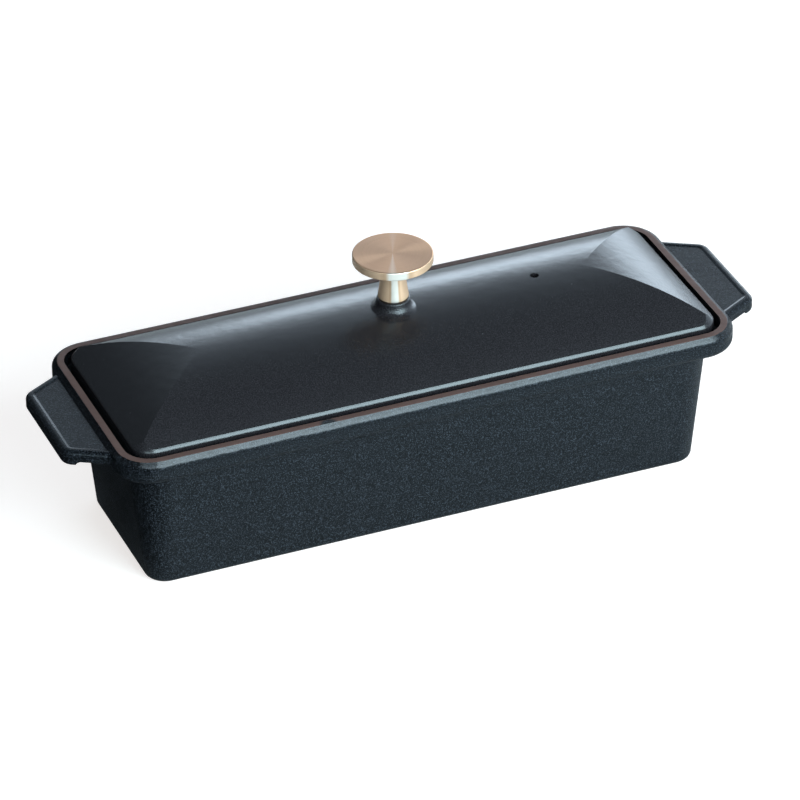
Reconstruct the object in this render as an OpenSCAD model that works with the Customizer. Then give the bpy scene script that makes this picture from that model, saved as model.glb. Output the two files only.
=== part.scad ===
// Terrine dish in enamelled cast iron: a long tub with a stepped rim, a hipped lid and a turned knob.
// X runs along the length, Y across it and Z up. The origin is under the middle of the base.

/* [Dish] */
// Length over the rim, without the handles
dish_l = 302; // [240:1:360]
// Width over the rim
dish_w = 114; // [96:1:160]
// Height from the table to the top of the rim
dish_h = 75; // [55:1:120]
// Thickness of the side walls
wall_t = 4; // [3:0.5:5]
// Thickness of the base
floor_t = 5; // [3.5:0.5:8]
// Slope of the walls, in degrees from upright
wall_draft = 5.6; // [1:0.1:7]
// Outer radius of the tub's upright corners at the foot
foot_corner_r = 10; // [8:0.5:16]
// Rounding where the walls turn under into the base
foot_edge_r = 3; // [1:0.5:4]
// Rounding where the inside walls meet the floor
floor_edge_r = 5; // [2:0.5:5.5]

/* [Rim] */
// Outer radius of the rim's corners
rim_r = 18; // [16:0.5:24]
// Height of the rim's outer band
rim_band_h = 11; // [10.5:0.5:16]
// How far the band stands proud of the wall under it
rim_overhang = 9.5; // [8:0.5:11]
// Width of the ground flat on top of the rim
rim_flat_w = 2.4; // [2:0.1:3.5]
// Rounding of the rim's outer top edge
rim_edge_r = 3.3; // [2.4:0.1:3.6]
// Rounding of the band's lower outer edge
rim_under_r = 3.5; // [2:0.5:4]
// Hollow fillet that blends the band into the wall
rim_fillet_r = 4; // [2:0.5:5]
// Depth of the lid's ledge under the top of the rim
ledge_depth = 7; // [5:0.5:7.5]
// Radius of the hollow corner between the ledge and the rim
ledge_corner_r = 1; // [0.5:0.1:1.5]

/* [Handles] */
// How far each handle reaches beyond the rim
handle_reach = 18.7; // [16:0.1:30]
// Width of a handle where it leaves the rim
handle_root_w = 75; // [60:1:76]
// Slope of a handle's sides, in degrees from the length of the dish
handle_side_a = 30; // [15:1:40]
// Radius of a handle's outer corners
handle_corner_r = 6.5; // [6:0.5:9]
// Thickness of a handle's plate
handle_t = 5; // [4:0.5:6]
// Step down from the rim to the top of a handle
handle_drop = 2.2; // [1.5:0.1:2.8]
// Rounding of a handle's top edges
handle_edge_r = 2.4; // [1:0.1:2.5]
// Hollow radius where a handle's sides run into the rim
handle_fillet_r = 3; // [2:0.5:4]
// Hollow radius where a handle's top runs up into the rim
handle_rise_r = 4; // [3:0.5:6]
// Height of the lip that turns down along a handle's end
lip_h = 7.5; // [7:0.1:10]
// Thickness of the lip
lip_t = 5; // [4:0.5:7]
// Rounding of the lip's lower edge
lip_edge_r = 2; // [0.5:0.1:2.1]
// Width of the border along a handle's end and sides
border_w = 3.2; // [2.8:0.1:4]
// Depth of the sunk field inside that border
field_depth = 0.4; // [0.3:0.1:0.8]
// Width of the slope from the border down to the field
field_slope_w = 1.2; // [0.8:0.1:1.6]

/* [Lid] */
// Clearance between the lid and the rim around it
lid_gap = 3.2; // [2.8:0.2:3.4]
// Height of the lid's upright edge, up to where the slopes begin
lid_edge_h = 8.4; // [6:0.1:10]
// Rounding of the lid's top edge
lid_edge_r = 2.5; // [1:0.1:3]
// Rise of the slopes from the edge to the ridge
dome_rise = 16.5; // [10:0.5:22]
// Thickness of the lid's shell
lid_t = 4.5; // [3.5:0.1:6]
// Width of the flat ring under the lid that sits on the ledge
lid_ring_w = 7; // [5.5:0.5:9]
// Corner radius of the hollow inside that ring
lid_hollow_r = 8; // [4:0.5:10]
// Distance of the steam hole from the middle of the lid
vent_x = 70; // [40:1:90]
// Diameter of the steam hole
vent_d = 4.2; // [3:0.1:6]

/* [Knob] */
// Diameter of the knob's disc
knob_d = 37; // [28:0.5:44]
// Height of the knob
knob_h = 23; // [18:0.5:30]
// Thickness of the disc at its edge
knob_disc_t = 4.1; // [3:0.1:5]
// Rounding of the disc's edges
knob_edge_r = 0.6; // [0.2:0.1:1.2]
// Diameter of the stem under the disc
stem_top_d = 11.4; // [10.5:0.1:13.5]
// Diameter of the stem's foot
stem_foot_d = 14.2; // [13.7:0.1:17]
// Bevel around the stem's foot
stem_bevel = 0.9; // [0.4:0.1:1.2]
// Height of the straight band above that bevel
stem_band_h = 0.8; // [0.4:0.1:2]
// Hollow radius where the stem runs into the disc
stem_fillet_r = 1; // [0.5:0.5:4]
// Height of the cast boss that carries the knob
boss_h = 5.3; // [4:0.1:10]
// Diameter of the boss at its top
boss_d = 15.6; // [15:0.1:18]
// Rounding of the boss's top edge
boss_edge_r = 0.8; // [0.3:0.1:1.2]
// Hollow flare where the boss grows out of the lid
boss_flare_r = 4.5; // [2.5:0.5:6]
// Slope of the flare's skirt, in degrees
boss_skirt_a = 22; // [18:1:30]

/* [Screw] */
// Diameter of the screw
screw_d = 6; // [5:0.5:7]
// Radial room around the screw in the knob's thread
thread_gap = 0.05; // [0.02:0.01:0.1]
// Radial room around the screw in the lid and the washer
screw_gap = 0.3; // [0.2:0.05:0.5]
// How far the screw reaches into the knob
screw_grip = 11; // [8:0.5:14]
// Bevel on the end of the screw
screw_bevel = 0.8; // [0.4:0.1:1.2]
// Diameter of the screw's head
head_d = 12; // [10.5:0.5:13]
// Height of the screw's head
head_h = 3.8; // [3:0.1:4.5]
// Rounding of the head
head_edge_r = 1.5; // [0.8:0.1:1.5]
// Width of the head's slot
slot_w = 1.6; // [1.2:0.1:2]
// Depth of the head's slot
slot_depth = 1.7; // [1:0.1:2.2]
// Diameter of the washer
washer_d = 15; // [13.5:0.5:17]
// Thickness of the washer
washer_t = 1.2; // [0.8:0.1:2]
// Height of the flat pad under the lid that the washer sits on
pad_h = 1; // [0.6:0.1:2]
// How far the pad stands out around the washer
pad_margin = 1; // [0.5:0.5:3]

/* [Hidden] */
$fn = 96;
// Facets to a full turn in the small roundings of a half section
edge_fn = 48;
iron = [0.16, 0.18, 0.20];
bronze = [0.76, 0.64, 0.54];
steel = [0.70, 0.71, 0.73];
// Play that keeps a cutting shape proud of what it cuts
cut = 1;
// How much steeper than the slope the rounding of the lid's edge ends, in degrees
edge_lead = 10;
// Share of its full offset at which a hollow fillet's centre lies, so that it runs in with a faint edge
blend = 0.97;
// Room past the screw's end in the knob's blind hole
blind_room = 2;
// Share of a corner's turn that each of the two sides that meet there goes on round it
corner_share = 0.6;
// How far the plate of a handle runs into the rim, and its side fillets past their rounding
root_depth = 2;
fillet_depth = 0.4;

// Heights of the band and the ledge, and distances in from the rim's outer face
band_z = dish_h - rim_band_h;
ledge_z = dish_h - ledge_depth;
rim_w = rim_edge_r + rim_flat_w;
lid_inset = rim_w + lid_gap;
foot_inset = rim_overhang + band_z * tan(wall_draft);
// Each corner of the tub is a cone about one upright line, this far in from the rim's outer face
tub_c = foot_inset + foot_corner_r;
function wall_r(z) = foot_corner_r + z * tan(wall_draft);
function bore_r(z) = wall_r(z) - wall_t / cos(wall_draft);

// The lid's slopes are one arc, the same on the ends as on the sides
lid_l = dish_l - 2 * lid_inset;
lid_w = dish_w - 2 * lid_inset;
lid_r = rim_r - lid_inset;
slope_z = ledge_z + lid_edge_h;
slope_run = lid_w / 2;
dome_r = (pow(slope_run, 2) + pow(dome_rise, 2)) / (2 * dome_rise);
dome_a = asin(slope_run / dome_r);
ridge_z = slope_z + dome_rise;
dome_cz = ridge_z - dome_r;

// Boss, knob and what holds it
boss_z = ridge_z + boss_h;
pad_z = ridge_z - lid_t - pad_h;
head_z = pad_z - washer_t;
disc_z = knob_h - knob_disc_t;
screw_end_z = boss_z + screw_grip;

// Handles: height of the top, and where the hollow between a side and the rim's face has its centre
plate_z = dish_h - handle_drop;
fillet_c = blend * handle_fillet_r;
fillet_y = handle_root_w / 2 + fillet_c * (1 - sin(handle_side_a)) / cos(handle_side_a);

// A length to the nearest hundredth of a millimetre, so that swept sides and corners meet exactly
function snap(v) = round(v * 100) / 100;

// Four corner centres of a rectangle of l by w, each c in from both sides
function corners(l, w, c) = [for (s = [[1, -1], [1, 1], [-1, 1], [-1, -1]])
    [s[0] * snap(l / 2 - c), s[1] * snap(w / 2 - c)]];

// Direction of the line from a to b, and the turn to the left at b on the way from a to c
function heading(a, b) = atan2(b[1] - a[1], b[0] - a[0]);
function turn(a, b, c) = (heading(b, c) - heading(a, b) + 360) % 360;

// A solid whose half section, drawn outwards from the centres, is carried once around them.
// The centres run counter-clockwise, and the middle between them is filled from z0 to z1.
// Each side goes on round the corners at its ends, and the two sides that meet at one overlap there.
// With a bare root the stretch from the last centre back to the first has no section.
module swept(centres, z0, z1, bare_root = false) {
    n = len(centres);
    for (i = [0:n - (bare_root ? 2 : 1)]) {
        first = bare_root && i == 0;
        last = bare_root && i == n - 2;
        before = centres[(i + n - 1) % n];
        start = centres[i];
        end = centres[(i + 1) % n];
        after = centres[(i + 2) % n];
        run = norm(end - start);
        start_a = corner_share * turn(before, start, end);
        translate(last ? start : end)
            rotate([0, 0, heading(start, end) - 90])
                translate([0, last ? run : 0, 0]) {
                    rotate([90, 0, 0])
                        linear_extrude(run)
                            children();
                    if (!last)
                        rotate_extrude(angle = corner_share * turn(start, end, after))
                            children();
                    if (!first)
                        translate([0, -run, 0])
                            rotate_extrude(angle = start_a, start = -start_a)
                                children();
                }
    }
    translate([0, 0, z0])
        linear_extrude(z1 - z0)
            polygon(centres);
}

// The outer half of a disc, for the roundings of a half section
module round_edge(centre, r) {
    translate(centre)
        intersection() {
            circle(r, $fn = edge_fn);
            translate([0, -r])
                square([r, 2 * r]);
        }
}

// A half section with a side that runs from [r0, z0] up to [r1, z1], upright or leaning out.
// Its lower edge is rounded by e0 and its upper edge by e1.
module side_section(r0, z0, r1, z1, e0, e1) {
    lean = atan2(r1 - r0, z1 - z0);
    side = [cos(lean), -sin(lean)];
    low = [r0 + e0 * tan(lean) - e0 / cos(lean), z0 + e0];
    high = [r1 - e1 * tan(lean) - e1 / cos(lean), z1 - e1];
    polygon([
        [0, z0], [low[0], z0], low, low + e0 * side,
        high + e1 * side, high, [high[0], z1], [0, z1]
    ]);
    if (e0 > 0)
        round_edge(low, e0);
    if (e1 > 0)
        round_edge(high, e1);
}

// The hollow fillet between the leaning wall and the level underside of the band
module band_fillet_section() {
    centre = [wall_r(band_z - rim_fillet_r) + rim_fillet_r / cos(wall_draft), band_z - rim_fillet_r];
    foot = centre - rim_fillet_r * [cos(wall_draft), -sin(wall_draft)];
    difference() {
        polygon([
            [0, foot[1]], foot, centre, [centre[0], band_z],
            [centre[0], band_z + cut], [0, band_z + cut]
        ]);
        translate(centre)
            circle(rim_fillet_r);
    }
}

// The rim's band and the leaning tub under it
module casting() {
    tub_corners = corners(dish_l, dish_w, tub_c);
    swept(tub_corners, 0, ledge_z)
        side_section(wall_r(0), 0, wall_r(ledge_z), ledge_z, foot_edge_r, 0);
    swept(tub_corners, band_z - rim_fillet_r, band_z + cut)
        band_fillet_section();
    swept(corners(dish_l, dish_w, rim_r), band_z, dish_h)
        side_section(rim_r, band_z, rim_r, dish_h, rim_under_r, rim_edge_r);
}

// Everything that is hollow in the dish: the space for the food and the step for the lid
module hollow() {
    swept(corners(dish_l, dish_w, tub_c), floor_t, ledge_z + cut)
        side_section(bore_r(floor_t), floor_t, bore_r(ledge_z + cut), ledge_z + cut,
            floor_edge_r, 0);
    swept(corners(dish_l, dish_w, rim_r), ledge_z, dish_h + cut)
        side_section(rim_r - rim_w, ledge_z, rim_r - rim_w, dish_h + cut, ledge_corner_r, 0);
}

// Half width of the line of corner centres of a handle, at x from the rim's face
function plate_half(x) = handle_root_w / 2 - handle_corner_r / cos(handle_side_a)
    - x * tan(handle_side_a);

// Corner centres of a handle between the distances x0 and x1 from the rim's face
function plate_centres(x0, x1) =
    let (tip = snap(plate_half(x1)), root = tip + (x1 - x0) * tan(handle_side_a))
    [[x0, -root], [x1, -tip], [x1, tip], [x0, root]];

// The plate's edge: the full height of the lip, rounded, with the border of the sunk field
module plate_section() {
    r = handle_corner_r;
    field_r = r - border_w;
    floor_z = plate_z - field_depth;
    grade = field_depth / field_slope_w;
    difference() {
        side_section(r, plate_z - lip_h, r, plate_z, lip_edge_r, handle_edge_r);
        polygon([[-cut, floor_z], [field_r - field_slope_w, floor_z],
            [field_r + cut, plate_z + cut * grade], [-cut, plate_z + cut * grade]]);
    }
}

// The plate with its lip, before the underside is relieved
module plate_block() {
    tip = handle_reach - handle_corner_r;
    swept(plate_centres(-root_depth, tip), plate_z - lip_h, plate_z - field_depth, bare_root = true)
        plate_section();
}

// The finger hold under the plate, with a hollow corner against the lip
module plate_relief() {
    lip_x = handle_reach - lip_t;
    roof = plate_z - handle_t;
    rotate([90, 0, 0])
        linear_extrude(handle_root_w, center = true)
            difference() {
                translate([-handle_root_w / 2, roof - handle_root_w / 2])
                    square([handle_root_w / 2 + lip_x, handle_root_w / 2]);
                difference() {
                    translate([lip_x - lip_edge_r, roof - lip_edge_r])
                        square([lip_edge_r + cut, lip_edge_r + cut]);
                    translate([lip_x - lip_edge_r, roof - lip_edge_r])
                        circle(lip_edge_r);
                }
            }
}

// The hollow that carries the sunk field up into the rim's rounded edge
module plate_rise() {
    f = handle_rise_r;
    floor_z = plate_z - field_depth;
    rise = f + floor_z - dish_h + rim_edge_r;
    reach = (rim_edge_r + f) * blend;
    centre = [sqrt(reach * reach - rise * rise) - rim_edge_r, floor_z + f];
    edge = [-rim_edge_r, dish_h - rim_edge_r];
    base_z = floor_z - field_depth;
    intersection() {
        rotate([90, 0, 0])
            linear_extrude(2 * (fillet_y + cut), center = true)
                difference() {
                    polygon([edge, centre, [centre[0], base_z], [edge[0], base_z]]);
                    translate(centre)
                        circle(f);
                }
        translate([0, 0, base_z - cut])
            linear_extrude(dish_h - base_z + cut)
                rise_plan(centre[0] + cut);
    }
}

// Plan of that hollow up to x1: it ends halfway over the rounding of the plate's sides
module rise_plan(x1) {
    inset = handle_edge_r / 2;
    off = handle_fillet_r + inset;
    touch = [fillet_c, fillet_y] - off * [sin(handle_side_a), cos(handle_side_a)];
    end_y = touch[1] - (x1 - touch[0]) * tan(handle_side_a);
    for (side = [0, 1])
        mirror([0, side])
            difference() {
                polygon([[-rim_edge_r - cut, -cut], [x1, -cut], [x1, end_y], touch,
                    [fillet_c, fillet_y], [-rim_edge_r - cut, fillet_y]]);
                translate([fillet_c, fillet_y])
                    circle(off);
            }
}

// The hollow fillet between one side of the plate and the rim's face, its top edge rounded as the plate's
module plate_side_fillet() {
    f = handle_fillet_r;
    e = handle_edge_r;
    out = f + e + fillet_depth;
    translate([fillet_c, fillet_y])
        rotate_extrude(angle = 90 - handle_side_a, start = 180)
            difference() {
                translate([f, plate_z - handle_t])
                    square([out - f, handle_t]);
                difference() {
                    translate([f - cut, plate_z - e])
                        square([e + cut, e + cut]);
                    translate([f + e, plate_z - e])
                        circle(e);
                }
            }
}

// One handle, drawn with the rim's face at x = 0
module handle() {
    difference() {
        plate_block();
        plate_relief();
    }
    plate_rise();
    plate_side_fillet();
    mirror([0, 1, 0])
        plate_side_fillet();
}

// Tub, rim and both handles, cast in one piece
module dish() {
    color(iron)
        difference() {
            union() {
                casting();
                for (side = [0, 1])
                    mirror([side, 0, 0])
                        translate([dish_l / 2, 0, 0])
                            handle();
            }
            hollow();
        }
}

// The four slopes of the lid, lowered by t: one arc along the length and one across
module slopes(t) {
    r = dome_r - t;
    flat = lid_l / 2 - slope_run;
    intersection() {
        translate([-lid_l / 2, 0, dome_cz])
            rotate([0, 90, 0])
                cylinder(h = lid_l, r = r);
        translate([0, lid_w / 2, 0])
            rotate([90, 0, 0])
                linear_extrude(lid_w)
                    union() {
                        translate([-flat, dome_cz])
                            square([2 * flat, r]);
                        for (side = [-1, 1])
                            translate([side * flat, dome_cz])
                                circle(r);
                    }
    }
}

// The edge of the lid: upright, then rounded until it runs a little steeper than the slope
module lid_edge_section() {
    e = lid_edge_r;
    end_a = dome_a + edge_lead;
    run_in = e * (1 - sin(end_a));
    touch = [lid_r - run_in, slope_z + run_in * tan(dome_a)];
    centre = touch - e * [sin(end_a), cos(end_a)];
    polygon([
        [0, ledge_z], [lid_r, ledge_z], [lid_r, centre[1]], centre, touch,
        [0, touch[1] + touch[0] * tan(end_a)]
    ]);
    round_edge(centre, e);
}

// The cast boss under the knob, with a flared skirt that dies into the slopes
module boss() {
    r = boss_d / 2;
    f = boss_flare_r;
    root_z = ridge_z - lid_t / 2;
    end_a = 270 - boss_skirt_a;
    centre = [r + f, boss_z - boss_edge_r - cut / 2];
    skirt = centre + f * [cos(end_a), sin(end_a)];
    skirt_r = skirt[0] + (skirt[1] - root_z) / tan(boss_skirt_a);
    rotate_extrude()
        difference() {
            union() {
                polygon([
                    [0, root_z], [skirt_r, root_z], skirt, centre, [r, centre[1]],
                    [r, boss_z - boss_edge_r], [r - boss_edge_r, boss_z - boss_edge_r],
                    [r - boss_edge_r, boss_z], [0, boss_z]
                ]);
                round_edge([r - boss_edge_r, boss_z - boss_edge_r], boss_edge_r);
            }
            translate(centre)
                circle(f);
        }
}

// Shell with four slopes, hollow underneath, on a flat ring
module lid() {
    hollow_c = lid_inset + lid_ring_w + lid_hollow_r;
    color(iron)
        difference() {
            union() {
                difference() {
                    intersection() {
                        swept(corners(dish_l, dish_w, rim_r), ledge_z, ridge_z + cut)
                            lid_edge_section();
                        slopes(0);
                    }
                    intersection() {
                        swept(corners(dish_l, dish_w, hollow_c), ledge_z - cut, ridge_z)
                            side_section(lid_hollow_r, ledge_z - cut, lid_hollow_r, ridge_z, 0, 0);
                        slopes(lid_t);
                    }
                }
                boss();
                translate([0, 0, pad_z])
                    cylinder(h = ridge_z - pad_z, d = washer_d + 2 * pad_margin);
            }
            translate([0, 0, pad_z - cut])
                cylinder(h = boss_z - pad_z + 2 * cut, d = screw_d + 2 * screw_gap);
            translate([vent_x, 0, ledge_z])
                cylinder(h = ridge_z, d = vent_d);
        }
}

// Half section of the knob, from its foot at z = 0
module knob_section() {
    foot = stem_foot_d / 2;
    top = stem_top_d / 2;
    band_top = stem_bevel + stem_band_h;
    neck_z = disc_z - stem_fillet_r;
    waist = foot - top;
    sweep_r = (pow(waist, 2) + pow(neck_z - band_top, 2)) / (2 * waist);
    polygon([[0, 0], [foot - stem_bevel, 0], [foot, stem_bevel], [foot, band_top], [0, band_top]]);
    difference() {
        translate([0, band_top])
            square([foot, neck_z - band_top]);
        translate([top + sweep_r, neck_z])
            circle(sweep_r, $fn = 4 * $fn);
    }
    difference() {
        translate([0, neck_z])
            square([top + stem_fillet_r, stem_fillet_r]);
        translate([top + stem_fillet_r, neck_z])
            circle(stem_fillet_r);
    }
    side_section(knob_d / 2, disc_z, knob_d / 2, knob_h, knob_edge_r, knob_edge_r);
}

// Turned knob with a blind thread from below
module knob() {
    color(bronze)
        translate([0, 0, boss_z])
            difference() {
                rotate_extrude()
                    knob_section();
                translate([0, 0, -cut])
                    cylinder(h = screw_grip + blind_room + cut, d = screw_d + 2 * thread_gap);
            }
}

// Flat washer between the screw's head and the pad
module knob_washer() {
    color(steel)
        translate([0, 0, head_z])
            difference() {
                cylinder(h = washer_t, d = washer_d);
                translate([0, 0, -cut])
                    cylinder(h = washer_t + 2 * cut, d = screw_d + 2 * screw_gap);
            }
}

// Slotted screw that holds the knob from inside the lid
module knob_screw() {
    color(steel)
        difference() {
            union() {
                translate([0, 0, head_z - head_h])
                    rotate_extrude()
                        side_section(head_d / 2, 0, head_d / 2, head_h, head_edge_r, 0);
                translate([0, 0, head_z - cut])
                    cylinder(h = screw_end_z - screw_bevel - head_z + cut, d = screw_d);
                translate([0, 0, screw_end_z - screw_bevel])
                    cylinder(h = screw_bevel, d1 = screw_d, d2 = screw_d - 2 * screw_bevel);
            }
            translate([-head_d / 2 - cut, -slot_w / 2, head_z - head_h - cut])
                cube([head_d + 2 * cut, slot_w, slot_depth + cut]);
        }
}

dish();
lid();
knob();
knob_washer();
knob_screw();
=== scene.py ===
"""Finishes, floor, lamps and camera for a terrine dish in enamelled cast iron."""
import math

import bpy
from bpy.props import FloatProperty, FloatVectorProperty, PointerProperty
from mathutils import Matrix, Vector


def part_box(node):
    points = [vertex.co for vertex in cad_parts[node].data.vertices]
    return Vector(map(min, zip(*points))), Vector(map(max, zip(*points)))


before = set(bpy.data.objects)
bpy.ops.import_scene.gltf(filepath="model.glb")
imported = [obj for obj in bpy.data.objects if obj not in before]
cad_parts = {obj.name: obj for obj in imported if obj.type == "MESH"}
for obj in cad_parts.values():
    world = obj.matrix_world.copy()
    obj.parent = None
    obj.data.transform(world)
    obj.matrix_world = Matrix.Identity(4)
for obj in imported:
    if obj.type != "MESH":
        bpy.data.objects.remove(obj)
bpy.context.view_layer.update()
DISH_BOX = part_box("dish")
KNOB_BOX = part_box("knob")

bl_info = {
    "name": "Terrine Dish Finishes",
    "version": (1, 0, 0),
    "blender": (4, 5, 0),
    "location": "3D View > Sidebar > Terrine",
    "description": "Enamels the castings, turns the knob bright and sets the dish on its stage",
    "category": "Material",
}

MM = 0.001
# Room for a node in the node editor, across and down
NODE_STEP = (190, 170)

# Where a comment names no other order, a pair gives where something begins and where it is full

# Radius of the rim's outer top edge
RIM_EDGE = 3.3 * MM
# Depths below the rim's top for its smoother enamel, and for the glossier enamel on that edge
SMOOTH_DEPTHS = (6.0 * MM, 3.5 * MM)
GLOSS_DEPTHS = (2.3 * MM, 1.7 * MM)
# Angles from the crown of that edge over which its slope is softened, in radians
CROWN_ANGLES = (1.05, 0.24)
# Depths below the rim's top for its ground flat, as shares of the ground depth
GROUND_DEPTHS = (1.6, 1.1)
# One flaw in that flat and one lump in the enamel beside the left handle: X and Y, and distances from it
FLAW_PLACE = (-53.5 * MM, -54.8 * MM)
FLAW_REACH = (4.6 * MM, 2.8 * MM)
LUMP_PLACE = (-150.0 * MM, -42.0 * MM)
LUMP_REACH = (3.5 * MM, 0.5 * MM)
# How far the lump lies below the rim's top, and how far it stands out
LUMP_DEPTH = 2.0 * MM
LUMP_HEIGHT = 0.8 * MM
# Heights over which the lid's edge is softened, and over which the boss grows rougher
LID_EDGE = (74.5 * MM, 76.9 * MM)
BOSS_FOOT = (93.3 * MM, 94.8 * MM)
# Levels of the cast grain for the dish's thin enamel and for the lid's lighter clouds
THIN_GRAIN = (0.50, 0.66)
CLOUD_GRAIN = (0.38, 0.64)
# Shares of a colour in the lid's darker and lighter clouds, in patches of iron and in turned rings
CLOUD_SHADES = (0.65, 1.40)
IRON_SHADE = 0.55
RING_SHADE = 0.80
# Waves a metre of the patches in a finish, and of the ragged edge of the grinding
PATCH_WAVES = 38.0
RAGGED_WAVES = 160.0

# Depths below the knob's top for its brushed face
FACE_DEPTHS = (0.25 * MM, 0.10 * MM)
# Angles for the painted highlight wedges on that face, for the painted pale reflection band on the sides and
# for its painted darker flanks
PAINTED_HIGHLIGHT_ANGLES = (math.radians(8), math.radians(1))
PAINTED_BAND_ANGLES = (math.radians(17), math.radians(12))
PAINTED_FLANK_ANGLES = (math.radians(26), math.radians(20))
# Strength of the painted highlight wedge at the back, and how far from the axis the front one takes over
BACK_PAINTED_HIGHLIGHT = 0.35
PAINTED_HIGHLIGHT_CHANGE = 2.0 * MM
# Strength of the painted darker flanks
PAINTED_FLANK_SHARE = 0.45
# How much the turned rings change the roughness of the bronze and of the steel
BRONZE_RINGS = 0.06
STEEL_RINGS = 0.08

# Each lamp's azimuth and elevation in degrees, and its distance, width and height in metres
KEY_PLACE = (21, 26, 1.5, 1.2, 1.05)
FILL_PLACE = (-24, 24, 3.0, 2.4, 1.1)
BACK_PLACE = (138, 7, 2.0, 2.0, 0.7)
LAMP_TARGET = Vector((0.0, 0.0, 60 * MM))
# Direction of the glow in the sky, how high it reaches and how far to the sides
GLOW_TOWARDS = (0.866, 0.5, 0.0)
GLOW_HEIGHTS = (0.15, 1.1)
GLOW_SIDES = (0.15, 0.85)
# Side of the square floor in metres, its roughness, and along X the edge of the painted shade that
# reflections see left of the dish
FLOOR_SIZE = 12.0
FLOOR_ROUGHNESS = 0.9
REFLECTED_SHADE_EDGE = (-130 * MM, -150 * MM)
# Width of the camera's sensor in millimetres, and how far it sees in metres
SENSOR_WIDTH = 36.0
SIGHT = 50.0


def colour(name, description, default):
    """A colour that a user may change, in linear red, green and blue."""
    return FloatVectorProperty(name=name, description=description, default=default,
                               subtype="COLOR", size=3, min=0.0, max=1.0)


def length(name, description, default):
    """A length that a user may change, in metres."""
    return FloatProperty(name=name, description=description, default=default,
                         unit="LENGTH", subtype="DISTANCE", min=0.0, precision=5)


def angle(name, description, degrees):
    """An angle that a user may change; its default is given in degrees."""
    return FloatProperty(name=name, description=description, default=math.radians(degrees),
                         subtype="ANGLE", unit="ROTATION")


def factor(name, description, default, top=1.0):
    """A plain number that a user may change."""
    return FloatProperty(name=name, description=description, default=default,
                         subtype="FACTOR" if top == 1.0 else "NONE", min=0.0, max=top)


class EnamelSettings(bpy.types.PropertyGroup):
    """Enamel of the two castings"""

    dish_colour: colour("Dish", "Matt black enamel outside the dish", (0.0016, 0.0021, 0.0028))
    lid_colour: colour("Lid", "Smoother black enamel of the lid", (0.0150, 0.0140, 0.0162))
    pale_colour: colour("Thin enamel", "Enamel where the cast grain comes through", (0.036, 0.043, 0.054))
    speck_colour: colour("Specks", "Pale specks in the lid's enamel", (0.16, 0.17, 0.18))
    ground_colour: colour("Ground iron", "Rim where it is ground flat", (0.145, 0.085, 0.072))
    dish_shine: colour("Dish shine", "Tint of what the matt enamel reflects", (0.78, 0.89, 0.98))
    lid_shine: colour("Lid shine", "Tint of what the lid reflects", (0.86, 0.96, 1.0))
    dish_level: factor("Dish shine level", "Strength of what the dish reflects", 0.26)
    lid_level: factor("Lid shine level", "Strength of what the lid reflects", 0.6)
    rim_coat: factor("Rim gloss", "Gloss of the thicker enamel on the rim's rounded edge", 0.30)
    coat_roughness: factor("Gloss roughness", "How matt that gloss is", 0.22)
    dish_roughness: factor("Dish roughness", "How matt the walls are", 0.46)
    rim_roughness: factor("Rim roughness", "How matt the rim and the handles are", 0.28)
    lid_roughness: factor("Lid roughness", "How matt the lid is", 0.24)
    ground_roughness: factor("Ground roughness", "How much more matt the ground iron is", 0.3)
    dish_patches: factor("Dish patches", "How much the roughness of the dish varies", 0.08)
    lid_patches: factor("Lid patches", "How much the roughness of the lid varies", 0.05)
    grain_size: length("Cast grain", "Width of one grain of the casting", 0.60 * MM)
    dish_grain: length("Dish relief", "Relief of the grain on the walls", 0.31 * MM)
    lid_grain: length("Lid relief", "Relief of the grain on the lid", 0.05 * MM)
    rim_grain: length("Rim relief", "Relief of the grain along the rim", 0.05 * MM)
    boss_grain: length("Boss relief", "Relief of the grain on the boss under the knob", 0.22 * MM)
    peel_size: length("Ripple", "Width of the slow ripples in the enamel", 5.0 * MM)
    dish_peel: length("Dish ripple", "Relief of the ripples on the dish", 0.06 * MM)
    rim_peel: length("Rim ripple", "Relief of the ripples along the rim", 0.34 * MM)
    lid_peel: length("Lid ripple", "Relief of the ripples on the lid", 0.10 * MM)
    speck_spacing: length("Speck spacing", "Room that each pale speck has to itself", 9.0 * MM)
    speck_radius: length("Speck radius", "Largest radius of a pale speck", 0.3 * MM)
    crown_cut: length("Crown cut", "How deep the enamel falls away below the ground edge", 1.47 * MM)
    shoulder_cut: length("Shoulder cut", "How much the enamel softens the lid's edge", 0.40 * MM)
    ground_depth: length("Ground depth", "How far down the rim the grinding shows", 0.08 * MM)
    ground_step: length("Enamel edge", "Step from the enamel down to the ground iron", 0.05 * MM)


class MetalSettings(bpy.types.PropertyGroup):
    """Turned knob and its fixing"""

    bronze_colour: colour("Bronze", "Rosy metal of the knob", (0.76, 0.47, 0.30))
    # Colour of the painted highlight wedges on the knob's top
    painted_highlight_colour: colour("Wedges", "Pale shine on the top of the knob", (1.0, 0.95, 0.86))
    bright_colour: colour("Bright bronze", "Polished stem and edge of the knob", (0.95, 0.66, 0.44))
    # Painted reflection on the stem and the edge: a pale band and its darker flanks
    painted_band_colour: colour("Painted bright band", "Palest part of the stem and the edge", (0.89, 0.87, 0.80))
    painted_flank_colour: colour("Painted flanks", "Darkest part of the stem and the edge", (0.40, 0.25, 0.14))
    bronze_roughness: factor("Bronze roughness", "How brushed the top of the knob is", 0.30)
    bright_roughness: factor("Bright roughness", "How brushed its stem and edge are", 0.26)
    turning: factor("Turning", "How much the turned rings stretch the shine", 0.92)
    # How strong the painted highlight wedges are, and their turn about the knob
    painted_highlight_strength: factor("Sheen", "How much lighter the two wedges of shine on the top are", 0.30)
    painted_highlight_angle: angle("Sheen angle", "Turn of those wedges about the knob", -22.5)
    side_metal: factor("Side metal", "Metal share of the stem's and the edge's shine", 0.60)
    # Turn of the painted reflection band about the knob
    painted_band_angle: angle("Band angle", "Turn of the bright band about the knob", -15.0)
    steel_colour: colour("Steel", "Washer and screw", (0.56, 0.56, 0.57))
    steel_roughness: factor("Steel roughness", "How brushed the steel is", 0.32)


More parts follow.
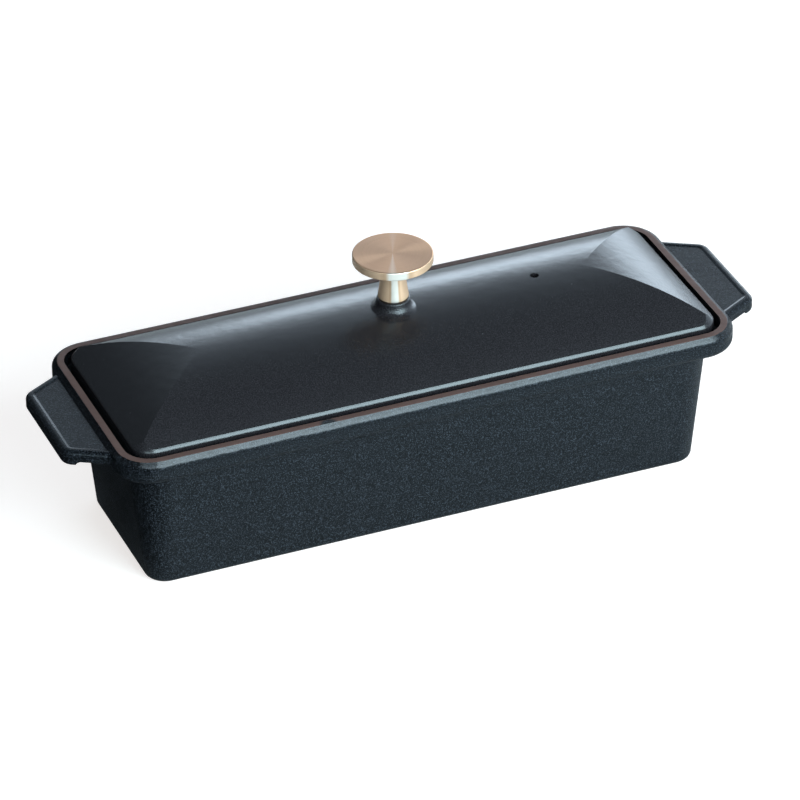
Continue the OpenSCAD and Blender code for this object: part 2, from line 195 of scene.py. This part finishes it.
class StageSettings(bpy.types.PropertyGroup):
    """Floor, lamps and camera"""

    floor_colour: colour("Floor", "Pale floor", (0.60, 0.60, 0.60))
    # Painted shade: a dark colour that only reflections see on the floor left of the dish
    reflected_shade_colour: colour("Card", "What the left end reflects in place of the floor", (0.03, 0.03, 0.03))
    floor_lift: factor("Floor lift", "What the camera adds to the floor to make it white", 0.70)
    lift_colour: colour("Lift tint", "Warm tint of that, against the cool lamps", (1.0, 0.95, 0.92))
    sky_high: factor("Sky", "Light from all around and above", 0.13, 4.0)
    sky_low: factor("Sky glow", "Light low behind the end with the steam hole", 1.40, 4.0)
    key_power: factor("Key", "Brightness of the soft lamp in front", 10.0, 20.0)
    fill_power: factor("Fill", "Brightness of the soft lamp in front on the left", 3.5, 20.0)
    key_colour: colour("Key tint", "Cool tint of those lamps", (0.80, 0.95, 1.0))
    back_power: factor("Back", "Brightness of the low soft lamp behind", 3.0, 20.0)
    sky_colour: colour("Sky tint", "Cool tint of the light around", (0.76, 0.88, 1.0))
    azimuth: angle("Azimuth", "Turn of the camera about the dish", -21.92)
    elevation: angle("Elevation", "Height of the camera above the horizon", 32.05)
    roll: angle("Roll", "Tilt of the camera about its own line of sight", -0.7)
    distance: length("Distance", "From the camera to the point that it looks at", 2.483)
    target: FloatVectorProperty(name="Target", description="Point that the camera looks at",
                                default=(0.0027, 0.0, 0.0419), size=3, unit="LENGTH")
    lens: FloatProperty(name="Lens", description="Focal length in millimetres", default=242.5,
                        min=1.0, max=1000.0)


def place(tree, kind, column, row, label="", **settings):
    """Adds a node at a column and a row of the tree, with its settings."""
    node = tree.nodes.new(kind)
    node.location = (column * NODE_STEP[0], -row * NODE_STEP[1])
    node.label = label
    for name, value in settings.items():
        setattr(node, name, value)
    return node


def join(tree, source, target):
    """Links one socket to another."""
    tree.links.new(source, target)


def is_socket(value):
    """Whether a value is a node's socket, and not a plain number or colour."""
    return isinstance(value, bpy.types.NodeSocket)


def feed(tree, value, slot):
    """Links a socket to a slot, or gives the slot a plain value."""
    if is_socket(value):
        join(tree, value, slot)
    else:
        slot.default_value = value


def sums(tree, operation, column, row, *terms, label="", clamp=False):
    """A Math node whose inputs are sockets or plain numbers; returns its output."""
    node = place(tree, "ShaderNodeMath", column, row, label, operation=operation, use_clamp=clamp)
    for slot, term in zip(node.inputs, terms):
        feed(tree, term, slot)
    return node.outputs[0]


def parts(tree, column, row, vector):
    """The X, Y and Z of a vector, by name."""
    node = place(tree, "ShaderNodeSeparateXYZ", column, row)
    join(tree, vector, node.inputs[0])
    return node.outputs


def noise(tree, column, row, vector, scale, label, detail, roughness):
    """A noise texture whose scale is a socket or a plain number; returns its value."""
    node = place(tree, "ShaderNodeTexNoise", column, row, label)
    node.inputs["Detail"].default_value = detail
    node.inputs["Roughness"].default_value = roughness
    join(tree, vector, node.inputs["Vector"])
    feed(tree, scale, node.inputs["Scale"])
    return node.outputs[0]


def ramp(tree, column, row, value, start, end, label="", low=0.0, high=1.0, kind="LINEAR"):
    """A number that goes from low to high while a value goes from start to end; plainly, a mask."""
    node = place(tree, "ShaderNodeMapRange", column, row, label, interpolation_type=kind)
    node.inputs["From Min"].default_value = start
    node.inputs["From Max"].default_value = end
    node.inputs["To Min"].default_value = low
    node.inputs["To Max"].default_value = high
    join(tree, value, node.inputs["Value"])
    return node.outputs[0]


def between(tree, column, row, value, low, high, label=""):
    """Spreads a value of 0 to 1 between two plain numbers."""
    return ramp(tree, column, row, value, 0.0, 1.0, label, low, high)


def around(tree, column, row, value, middle, spread, label=""):
    """Spreads a value of 0 to 1 evenly to both sides of a plain number."""
    return between(tree, column, row, value, middle - spread, middle + spread, label)


def shade(base, share):
    """A colour made darker or lighter."""
    return [share * channel for channel in base]


def mix_colours(tree, column, row, mask, under, over, label=""):
    """Lays one colour over another by a mask; each is a socket or a colour."""
    node = place(tree, "ShaderNodeMix", column, row, label, data_type="RGBA")
    join(tree, mask, node.inputs["Factor"])
    for slot, value in ((node.inputs[6], under), (node.inputs[7], over)):
        feed(tree, value if is_socket(value) else (*value, 1.0), slot)
    return node.outputs[2]


def spot(tree, column, row, where, centre, reach, label):
    """A mask of one small place: 0 beyond the first reach from its centre, and 1 within the second."""
    node = place(tree, "ShaderNodeVectorMath", column, row, "Distance", operation="DISTANCE")
    join(tree, where, node.inputs[0])
    node.inputs[1].default_value = centre
    return ramp(tree, column + 1, row, node.outputs["Value"], *reach, label)


def bump(tree, column, row, height):
    """A Bump node for a relief in metres; returns its normal."""
    node = place(tree, "ShaderNodeBump", column, row)
    node.inputs["Strength"].default_value = 1.0
    node.inputs["Distance"].default_value = 1.0
    join(tree, height, node.inputs["Height"])
    return node.outputs[0]


def new_group(name, numbers, results):
    """A node group that is given a vector and numbers, with their defaults, and puts out values.
    Returns its tree, what it is given and what it puts out."""
    tree = bpy.data.node_groups.new(name, "ShaderNodeTree")
    tree.interface.new_socket(name="Vector", in_out="INPUT", socket_type="NodeSocketVector")
    for label, default in numbers.items():
        made = tree.interface.new_socket(name=label, in_out="INPUT", socket_type="NodeSocketFloat")
        made.default_value = default
    for label in results:
        tree.interface.new_socket(name=label, in_out="OUTPUT", socket_type="NodeSocketFloat")
    start = place(tree, "NodeGroupInput", -2, 0)
    end = place(tree, "NodeGroupOutput", 8, 0)
    return tree, start.outputs, end.inputs


def grain_group():
    """Sand-cast grain from 0 to 1, the same grain and slow ripples about 0, where the enamel is thin,
    and wide patches from 0 to 1."""
    tree, given, out = new_group("Cast Grain", {"Grain Size": 0.60 * MM, "Ripple Size": 5.0 * MM},
                                 ("Grain", "Fine", "Ripple", "Thin", "Patches"))
    fine_scale = sums(tree, "DIVIDE", 0, 0, 1.0, given["Grain Size"], label="Grains a metre")
    slow_scale = sums(tree, "DIVIDE", 0, 2, 1.0, given["Ripple Size"], label="Ripples a metre")
    fine = noise(tree, 1, 0, given["Vector"], fine_scale, "Grain", detail=2.5, roughness=0.55)
    slow = noise(tree, 1, 2, given["Vector"], slow_scale, "Ripple", detail=1.0, roughness=0.4)
    patches = noise(tree, 1, 4, given["Vector"], PATCH_WAVES, "Patches", detail=3.0, roughness=0.6)
    join(tree, fine, out["Grain"])
    join(tree, sums(tree, "SUBTRACT", 3, 0, fine, 0.5, label="About its mean"), out["Fine"])
    join(tree, sums(tree, "SUBTRACT", 3, 2, slow, 0.5, label="About its mean"), out["Ripple"])
    join(tree, ramp(tree, 3, 3, fine, *THIN_GRAIN, "Where the grain shows"), out["Thin"])
    join(tree, patches, out["Patches"])
    return tree


def specks_group():
    """Sparse pale specks in the enamel, as a mask."""
    tree, given, out = new_group("Enamel Specks", {"Spacing": 9.0 * MM, "Speck Radius": 0.3 * MM},
                                 ("Specks",))
    cells = place(tree, "ShaderNodeTexVoronoi", 2, 0, "One speck a cell")
    join(tree, given["Vector"], cells.inputs["Vector"])
    join(tree, sums(tree, "DIVIDE", 0, 0, 1.0, given["Spacing"]), cells.inputs["Scale"])
    near = sums(tree, "MULTIPLY", 4, 0, cells.outputs["Distance"], given["Spacing"], label="In metres")
    share = sums(tree, "DIVIDE", 5, 0, near, given["Speck Radius"])
    join(tree, sums(tree, "SUBTRACT", 6, 0, 1.0, share, clamp=True), out["Specks"])
    return tree


def rings_group():
    """Fine rings that a lathe leaves about the upright axis, as a value from 0 to 1."""
    tree, given, out = new_group("Turned Rings", {"Rings a Metre": 2400.0}, ("Rings",))
    xyz = parts(tree, 0, 0, given["Vector"])
    across = sums(tree, "MULTIPLY", 1, 0, xyz["X"], xyz["X"])
    along = sums(tree, "MULTIPLY", 1, 1, xyz["Y"], xyz["Y"])
    radius = sums(tree, "SQRT", 3, 0, sums(tree, "ADD", 2, 0, across, along), label="Distance from axis")
    section = place(tree, "ShaderNodeCombineXYZ", 4, 0, "Radius and height")
    join(tree, radius, section.inputs["X"])
    join(tree, xyz["Z"], section.inputs["Z"])
    rings = noise(tree, 5, 0, section.outputs[0], given["Rings a Metre"], "Rings", detail=2.0, roughness=0.7)
    join(tree, rings, out["Rings"])
    return tree


def shared_groups():
    """The node groups of the materials, each made at its first use."""
    makers = {"grain": ("Cast Grain", grain_group), "specks": ("Enamel Specks", specks_group),
              "rings": ("Turned Rings", rings_group)}
    return {key: bpy.data.node_groups.get(name) or make() for key, (name, make) in makers.items()}


def use_group(tree, group, column, row, **values):
    """Puts a node group into a material, with sockets or plain numbers for its inputs."""
    node = place(tree, "ShaderNodeGroup", column, row, group.name, node_tree=group)
    for name, value in values.items():
        feed(tree, value, node.inputs[name.replace("_", " ")])
    return node.outputs


def new_material(name):
    """A material with nothing but its shader; returns it, its tree, shader and object coordinates."""
    material = bpy.data.materials.new(name)
    material.use_nodes = True
    tree = material.node_tree
    tree.nodes.clear()
    shader = place(tree, "ShaderNodeBsdfPrincipled", 10, 0)
    end = place(tree, "ShaderNodeOutputMaterial", 12, 0)
    join(tree, shader.outputs[0], end.inputs["Surface"])
    where = place(tree, "ShaderNodeTexCoord", -6, 0)
    return material, tree, shader, where.outputs["Object"]


def paint(obj, material):
    """Gives a CAD node its material."""
    obj.data.materials.clear()
    obj.data.materials.append(material)


def cast_relief(tree, column, row, grain, grain_depth, ripple_depth):
    """Relief of an enamelled casting in metres about its mean; each depth is a socket or a number."""
    fine = sums(tree, "MULTIPLY", column, row, grain["Fine"], grain_depth, label="Grain")
    slow = sums(tree, "MULTIPLY", column, row + 1, grain["Ripple"], ripple_depth, label="Ripple")
    return sums(tree, "ADD", column + 1, row, fine, slow, label="Casting")


def crown(tree, column, row, level, top, radius, angles, depth):
    """Relief that slopes the upper part of a rounded edge outward, as where its crown is ground off.
    It grows from nothing to a depth between two angles from the crown, in radians."""
    upright = sums(tree, "MULTIPLY_ADD", column, row, level, 1.0 / radius, 1.0 - top / radius,
                   label="Cosine of the angle", clamp=True)
    turn = sums(tree, "ARCCOSINE", column + 1, row, upright, label="Angle from the crown")
    rise = ramp(tree, column + 3, row, turn, *angles, "Near the crown")
    curved = sums(tree, "MULTIPLY", column + 4, row, rise, rise)
    return sums(tree, "MULTIPLY", column + 5, row, curved, depth, label="Crown")


def ground_mask(tree, settings, where, level, top):
    """Where the rim is ground bare: a flat with a ragged edge and one flaw."""
    ragged = noise(tree, -3, 5, where, RAGGED_WAVES, "Ragged edge of the grinding", detail=3.0,
                   roughness=0.6)
    wander = around(tree, -1, 5, ragged, 0.0, settings.ground_depth)
    height = sums(tree, "ADD", 0, 4, level, wander)
    heights = [top - share * settings.ground_depth for share in GROUND_DEPTHS]
    worn = ramp(tree, 2, 4, height, *heights, "Ground flat")
    flaw = spot(tree, 1, 10, where, (*FLAW_PLACE, top), FLAW_REACH, "Flaw in the grinding")
    return sums(tree, "SUBTRACT", 4, 4, worn, flaw, label="Ground but for the flaw", clamp=True)


def dish_material(settings, groups):
    """Matt enamel with cast grain, smoother and glossier along the rim, which is ground bare on top."""
    material, tree, shader, where = new_material("Matt Enamel")
    grain = use_group(tree, groups["grain"], -3, 0, Vector=where, Grain_Size=settings.grain_size,
                      Ripple_Size=settings.peel_size)
    level = parts(tree, -3, 3, where)["Z"]
    top = DISH_BOX[1].z
    smooth = ramp(tree, -1, 3, level, *[top - depth for depth in SMOOTH_DEPTHS], "Rim and handles")
    upper = ramp(tree, 0, 7, level, *[top - depth for depth in GLOSS_DEPTHS], "Rounded edge of the rim")
    ground = ground_mask(tree, settings, where, level, top)

    enamel = mix_colours(tree, 2, 0, grain["Thin"], settings.dish_colour, settings.pale_colour,
                         "Grain through the enamel")
    iron = mix_colours(tree, 2, 7, grain["Patches"], settings.ground_colour,
                       shade(settings.ground_colour, IRON_SHADE), "Patchy iron")
    join(tree, mix_colours(tree, 6, 0, ground, enamel, iron, "Rim"), shader.inputs["Base Color"])

    wall = around(tree, 2, 2, grain["Patches"], settings.dish_roughness, settings.dish_patches)
    rim = sums(tree, "MULTIPLY", 3, 2, smooth, settings.dish_roughness - settings.rim_roughness)
    enamelled = sums(tree, "SUBTRACT", 4, 2, wall, rim)
    matt = sums(tree, "MULTIPLY", 4, 3, ground, settings.ground_roughness)
    join(tree, sums(tree, "ADD", 5, 2, enamelled, matt, label="Roughness"), shader.inputs["Roughness"])

    fine = between(tree, 1, 6, smooth, settings.dish_grain, settings.rim_grain, "Grain depth")
    slow = between(tree, 1, 7, upper, settings.dish_peel, settings.rim_peel, "Ripple depth")
    casting = cast_relief(tree, 3, 6, grain, fine, slow)
    step = sums(tree, "MULTIPLY", 4, 5, ground, -settings.ground_step, label="Enamel's edge")
    edge = crown(tree, 0, 9, level, top, RIM_EDGE, CROWN_ANGLES, settings.crown_cut)
    lump = spot(tree, 1, 11, where, (*LUMP_PLACE, top - LUMP_DEPTH), LUMP_REACH, "Lump of enamel")
    height = sums(tree, "ADD", 5, 5, casting, step)
    height = sums(tree, "ADD", 6, 5, height, edge)
    height = sums(tree, "ADD", 7, 5, height, sums(tree, "MULTIPLY", 3, 11, lump, LUMP_HEIGHT))
    normal = bump(tree, 8, 3, height)
    join(tree, normal, shader.inputs["Normal"])
    join(tree, normal, shader.inputs["Coat Normal"])

    glossy = sums(tree, "SUBTRACT", 5, 7, upper, ground, clamp=True)
    gloss = sums(tree, "MULTIPLY", 6, 7, glossy, settings.rim_coat, label="Gloss")
    join(tree, gloss, shader.inputs["Coat Weight"])
    shader.inputs["Coat Roughness"].default_value = settings.coat_roughness
    shader.inputs["Specular IOR Level"].default_value = settings.dish_level
    shader.inputs["Specular Tint"].default_value = (*settings.dish_shine, 1.0)
    return material


def lid_material(settings, groups):
    """Smooth enamel with faint clouds, slow ripples and sparse specks, rougher on the boss."""
    material, tree, shader, where = new_material("Satin Enamel")
    grain = use_group(tree, groups["grain"], -3, 0, Vector=where, Grain_Size=settings.grain_size,
                      Ripple_Size=settings.peel_size)
    specks = use_group(tree, groups["specks"], -3, 3, Vector=where, Spacing=settings.speck_spacing,
                       Speck_Radius=settings.speck_radius)
    cloud = ramp(tree, 0, 1, grain["Grain"], *CLOUD_GRAIN, "Grain in the enamel")
    dark, light = [shade(settings.lid_colour, share) for share in CLOUD_SHADES]
    cloudy = mix_colours(tree, 1, 0, cloud, dark, light, "Clouds")
    enamel = mix_colours(tree, 2, 0, specks["Specks"], cloudy, settings.speck_colour, "Specks")
    join(tree, enamel, shader.inputs["Base Color"])
    matt = around(tree, 2, 2, grain["Patches"], settings.lid_roughness, settings.lid_patches, "Roughness")
    join(tree, matt, shader.inputs["Roughness"])

    level = parts(tree, -3, 6, where)["Z"]
    boss = ramp(tree, -1, 6, level, *BOSS_FOOT, "Boss")
    fine = between(tree, 1, 6, boss, settings.lid_grain, settings.boss_grain, "Grain depth")
    casting = cast_relief(tree, 3, 4, grain, fine, settings.lid_peel)
    soft = ramp(tree, -1, 8, level, *LID_EDGE, "Softer edge", high=-settings.shoulder_cut,
                kind="SMOOTHSTEP")
    height = sums(tree, "ADD", 5, 4, casting, soft)
    join(tree, bump(tree, 6, 3, height), shader.inputs["Normal"])
    shader.inputs["Specular IOR Level"].default_value = settings.lid_level
    shader.inputs["Specular Tint"].default_value = (*settings.lid_shine, 1.0)
    return material


def painted_highlight_wedges(tree, settings, xyz):
    """The two painted highlight wedges across the knob's brushed face, the one in front the stronger."""
    side = math.cos(settings.painted_highlight_angle)
    front = math.sin(settings.painted_highlight_angle)
    across = sums(tree, "ADD", -1, 6, sums(tree, "MULTIPLY", -2, 6, xyz["X"], side),
                  sums(tree, "MULTIPLY", -2, 7, xyz["Y"], front), label="Across the wedges")
    along = sums(tree, "SUBTRACT", -1, 8, sums(tree, "MULTIPLY", -2, 8, xyz["Y"], side),
                 sums(tree, "MULTIPLY", -2, 9, xyz["X"], front), label="Along the wedges")
    turned = sums(tree, "ARCTAN2", 0, 7, sums(tree, "ABSOLUTE", 0, 6, across),
                  sums(tree, "ABSOLUTE", 0, 8, along), label="Angle from the wedges")
    wedge = ramp(tree, 1, 7, turned, *PAINTED_HIGHLIGHT_ANGLES, "Wedges")
    near = ramp(tree, 1, 8, along, PAINTED_HIGHLIGHT_CHANGE, -PAINTED_HIGHLIGHT_CHANGE, "Stronger towards the front")
    strength = between(tree, 2, 8, near, BACK_PAINTED_HIGHLIGHT, 1.0)
    light = sums(tree, "MULTIPLY", 2, 7, wedge, settings.painted_highlight_strength)
    return sums(tree, "MULTIPLY", 3, 8, light, strength, label="Painted shine")


def side_colour_with_painted_reflection(tree, settings, xyz):
    """Colour of the knob's stem and edge: polished bronze with a painted reflection, a pale band between
    painted darker flanks.
    """
    forward = sums(tree, "MULTIPLY", -2, 10, xyz["Y"], -1.0)
    turn = sums(tree, "ARCTAN2", -1, 10, xyz["X"], forward, label="Way round from the front")
    aside = sums(tree, "SUBTRACT", 0, 10, turn, settings.painted_band_angle)
    off = sums(tree, "ABSOLUTE", 1, 10, aside, label="Angle from the band")
    # Painted reflection: a pale band and darker flanks, set by the angle round the knob
    band = ramp(tree, 2, 10, off, *PAINTED_BAND_ANGLES, "Painted bright band")
    flank = sums(tree, "MULTIPLY", 3, 9, ramp(tree, 2, 9, off, *PAINTED_FLANK_ANGLES), PAINTED_FLANK_SHARE,
                 label="Painted darker flanks")
    golden = mix_colours(tree, 3, 6, flank, settings.bright_colour, settings.painted_flank_colour, "Painted flanks")
    return mix_colours(tree, 4, 6, band, golden, settings.painted_band_colour, "Stem and edge")


def bronze_material(settings, groups):
    """Turned bronze: a brushed top with two painted highlight wedges, and a polished stem and edge with a
    painted pale reflection band between painted darker flanks.
    """
    material, tree, shader, where = new_material("Turned Bronze")
    rings = use_group(tree, groups["rings"], -3, 0, Vector=where)["Rings"]
    xyz = parts(tree, -4, 4, where)
    top = KNOB_BOX[1].z
    face = ramp(tree, -2, 4, xyz["Z"], *[top - depth for depth in FACE_DEPTHS], "Brushed face")
    brushed = mix_colours(tree, 1, 0, rings, settings.bronze_colour,
                          shade(settings.bronze_colour, RING_SHADE), "Rings")
    # Painted highlight: the top is made lighter in two wedges across the face
    with_painted_highlight = mix_colours(tree, 3, 0, painted_highlight_wedges(tree, settings, xyz), brushed, settings.painted_highlight_colour,
                          "Painted highlight wedges")
    sides = side_colour_with_painted_reflection(tree, settings, xyz)
    join(tree, mix_colours(tree, 5, 0, face, sides, with_painted_highlight, "Face"), shader.inputs["Base Color"])
    ringed = sums(tree, "MULTIPLY", 4, 3, face, around(tree, 2, 2, rings, 0.0, BRONZE_RINGS))
    matt = between(tree, 4, 2, face, settings.bright_roughness, settings.bronze_roughness)
    join(tree, sums(tree, "ADD", 5, 2, matt, ringed, label="Roughness"), shader.inputs["Roughness"])
    join(tree, between(tree, 6, 2, face, settings.side_metal, 1.0, "Metallic"), shader.inputs["Metallic"])
    shader.inputs["Anisotropic"].default_value = settings.turning
    round_axis = place(tree, "ShaderNodeTangent", 6, 4, direction_type="RADIAL", axis="Z")
    join(tree, round_axis.outputs[0], shader.inputs["Tangent"])
    return material


def steel_material(settings, groups):
    """Plain brushed steel of the washer and the screw."""
    material, tree, shader, where = new_material("Plain Steel")
    rings = use_group(tree, groups["rings"], -3, 0, Vector=where)["Rings"]
    brushed = mix_colours(tree, 2, 0, rings, settings.steel_colour,
                          shade(settings.steel_colour, RING_SHADE), "Rings")
    join(tree, brushed, shader.inputs["Base Color"])
    matt = around(tree, 2, 2, rings, settings.steel_roughness, STEEL_RINGS, "Roughness")
    join(tree, matt, shader.inputs["Roughness"])
    shader.inputs["Metallic"].default_value = 1.0
    return material


def floor_material(settings):
    """Pale floor that the camera sees lifted to white, with its shadow kept.
    Reflections see painted shade, a dark colour, in its place to the left of the dish."""
    material, tree, shader, where = new_material("Pale Floor")
    painted_shade = ramp(tree, 2, 2, parts(tree, 0, 2, where)["X"], *REFLECTED_SHADE_EDGE, "Painted shade left of the dish")
    rays = place(tree, "ShaderNodeLightPath", 4, 4)
    seen = sums(tree, "MULTIPLY", 6, 2, painted_shade, rays.outputs["Is Glossy Ray"], label="Painted shade in reflections")
    pale = mix_colours(tree, 7, 0, seen, settings.floor_colour, settings.reflected_shade_colour)
    lift = sums(tree, "MULTIPLY", 7, 4, rays.outputs["Is Camera Ray"], settings.floor_lift)
    join(tree, pale, shader.inputs["Base Color"])
    join(tree, lift, shader.inputs["Emission Strength"])
    shader.inputs["Emission Color"].default_value = (*settings.lift_colour, 1.0)
    shader.inputs["Roughness"].default_value = FLOOR_ROUGHNESS
    shader.inputs["Specular IOR Level"].default_value = 0.0
    return material


def sky(settings):
    """White behind the dish, and for all else a dim sky with a glow low behind the right end."""
    world = bpy.data.worlds.new("Studio")
    world.use_nodes = True
    tree = world.node_tree
    tree.nodes.clear()
    where = place(tree, "ShaderNodeTexCoord", 0, 1).outputs["Generated"]
    towards = place(tree, "ShaderNodeVectorMath", 1, 3, "Towards the glow", operation="DOT_PRODUCT")
    towards.inputs[1].default_value = GLOW_TOWARDS
    join(tree, where, towards.inputs[0])
    fade = ramp(tree, 2, 1, parts(tree, 1, 1, where)["Z"], *GLOW_HEIGHTS, "Horizon to overhead",
                low=settings.sky_low - settings.sky_high, high=0.0, kind="SMOOTHSTEP")
    side = ramp(tree, 2, 3, towards.outputs["Value"], *GLOW_SIDES, "Side of the glow", kind="SMOOTHSTEP")
    glow = sums(tree, "MULTIPLY", 3, 2, fade, side, label="Glow")
    level = sums(tree, "ADD", 4, 2, glow, settings.sky_high, label="Sky with its glow")
    tinted = place(tree, "ShaderNodeVectorMath", 5, 1, "Tint", operation="SCALE")
    tinted.inputs[0].default_value = settings.sky_colour
    join(tree, level, tinted.inputs["Scale"])
    rays = place(tree, "ShaderNodeLightPath", 2, 0)
    light = place(tree, "ShaderNodeBackground", 8, 0)
    seen = mix_colours(tree, 6, 0, rays.outputs["Is Camera Ray"], tinted.outputs[0], (1.0, 1.0, 1.0))
    join(tree, seen, light.inputs["Color"])
    end = place(tree, "ShaderNodeOutputWorld", 10, 0)
    join(tree, light.outputs[0], end.inputs["Surface"])
    return world


def direction(azimuth, elevation):
    """From the dish towards an azimuth and an elevation, in radians.
    Azimuth 0 is in front of the dish, and it grows towards the end with the steam hole."""
    return Vector((math.sin(azimuth) * math.cos(elevation), -math.cos(azimuth) * math.cos(elevation),
                   math.sin(elevation)))


def softbox(name, stand, brightness, tint):
    """Hangs a soft lamp of an even brightness that faces the dish; stand is one of the lamps' places."""
    azimuth, elevation, distance, width, height = stand
    data = bpy.data.lights.new(name, "AREA")
    data.shape = "RECTANGLE"
    data.size = width
    data.size_y = height
    # An area lamp's radiance is its power over its area and pi
    data.energy = brightness * math.pi * width * height
    data.color = tint
    lamp = bpy.data.objects.new(name, data)
    out = direction(math.radians(azimuth), math.radians(elevation))
    lamp.location = LAMP_TARGET + out * distance
    lamp.rotation_mode = "QUATERNION"
    lamp.rotation_quaternion = out.to_track_quat("Z", "Y")
    bpy.context.scene.collection.objects.link(lamp)


class TERRINE_OT_enamel_castings(bpy.types.Operator):
    """Enamel the dish and the lid"""

    bl_idname = "terrine.enamel_castings"
    bl_label = "Enamel Castings"

    def execute(self, context):
        settings = context.scene.terrine_enamel
        groups = shared_groups()
        paint(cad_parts["dish"], dish_material(settings, groups))
        paint(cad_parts["lid"], lid_material(settings, groups))
        return {"FINISHED"}


class TERRINE_OT_finish_knob(bpy.types.Operator):
    """Finish the turned knob, its washer and its screw"""

    bl_idname = "terrine.finish_knob"
    bl_label = "Finish Knob"

    def execute(self, context):
        settings = context.scene.terrine_metal
        groups = shared_groups()
        paint(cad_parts["knob"], bronze_material(settings, groups))
        steel = steel_material(settings, groups)
        for name in ("knob_washer", "knob_screw"):
            paint(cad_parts[name], steel)
        return {"FINISHED"}


class TERRINE_OT_set_stage(bpy.types.Operator):
    """Lay the floor, light the sky and hang the lamps"""

    bl_idname = "terrine.set_stage"
    bl_label = "Set Stage"

    def execute(self, context):
        settings = context.scene.terrine_stage
        bpy.ops.object.select_all(action="DESELECT")
        bpy.ops.mesh.primitive_plane_add(size=FLOOR_SIZE, location=(0.0, 0.0, 0.0))
        floor = context.object
        floor.name = "floor"
        floor.data.materials.append(floor_material(settings))
        context.scene.world = sky(settings)
        softbox("Key", KEY_PLACE, settings.key_power, settings.key_colour)
        softbox("Fill", FILL_PLACE, settings.fill_power, settings.key_colour)
        softbox("Back", BACK_PLACE, settings.back_power, settings.sky_colour)
        return {"FINISHED"}


class TERRINE_OT_set_camera(bpy.types.Operator):
    """Set the camera at the angle of the product view"""

    bl_idname = "terrine.set_camera"
    bl_label = "Set Camera"

    def execute(self, context):
        settings = context.scene.terrine_stage
        data = bpy.data.cameras.new("Camera")
        data.lens = settings.lens
        data.sensor_width = SENSOR_WIDTH
        data.clip_end = SIGHT
        camera = bpy.data.objects.new("Camera", data)
        out = direction(settings.azimuth, settings.elevation)
        turn = (-out).to_track_quat("-Z", "Y").to_matrix().to_4x4()
        turn = turn @ Matrix.Rotation(settings.roll, 4, "Z")
        camera.matrix_world = Matrix.Translation(Vector(settings.target) + out * settings.distance) @ turn
        context.scene.collection.objects.link(camera)
        context.scene.camera = camera
        context.scene.view_settings.view_transform = "Standard"
        return {"FINISHED"}


class TERRINE_PT_finishes(bpy.types.Panel):
    """Finishes and stage of the terrine dish"""

    bl_label = "Terrine Dish"
    bl_space_type = "VIEW_3D"
    bl_region_type = "UI"
    bl_category = "Terrine"

    def draw(self, context):
        for name in SETTINGS:
            box = self.layout.box()
            settings = getattr(context.scene, name)
            for prop in settings.__annotations__:
                box.prop(settings, prop)
        for operator in OPERATORS:
            self.layout.operator(operator.bl_idname)


SETTINGS = {"terrine_enamel": EnamelSettings, "terrine_metal": MetalSettings,
            "terrine_stage": StageSettings}
OPERATORS = (TERRINE_OT_enamel_castings, TERRINE_OT_finish_knob, TERRINE_OT_set_stage,
             TERRINE_OT_set_camera)
CLASSES = (*SETTINGS.values(), *OPERATORS, TERRINE_PT_finishes)


def register():
    """Adds the classes and the scene's settings."""
    for made in CLASSES:
        bpy.utils.register_class(made)
    for name, kind in SETTINGS.items():
        setattr(bpy.types.Scene, name, PointerProperty(type=kind))


def unregister():
    """Takes them away again."""
    for name in SETTINGS:
        delattr(bpy.types.Scene, name)
    for made in reversed(CLASSES):
        bpy.utils.unregister_class(made)


def main():
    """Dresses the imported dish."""
    register()
    bpy.ops.terrine.set_camera()
    bpy.ops.terrine.enamel_castings()
    bpy.ops.terrine.finish_knob()
    bpy.ops.terrine.set_stage()


if __name__ == "__main__":
    main()
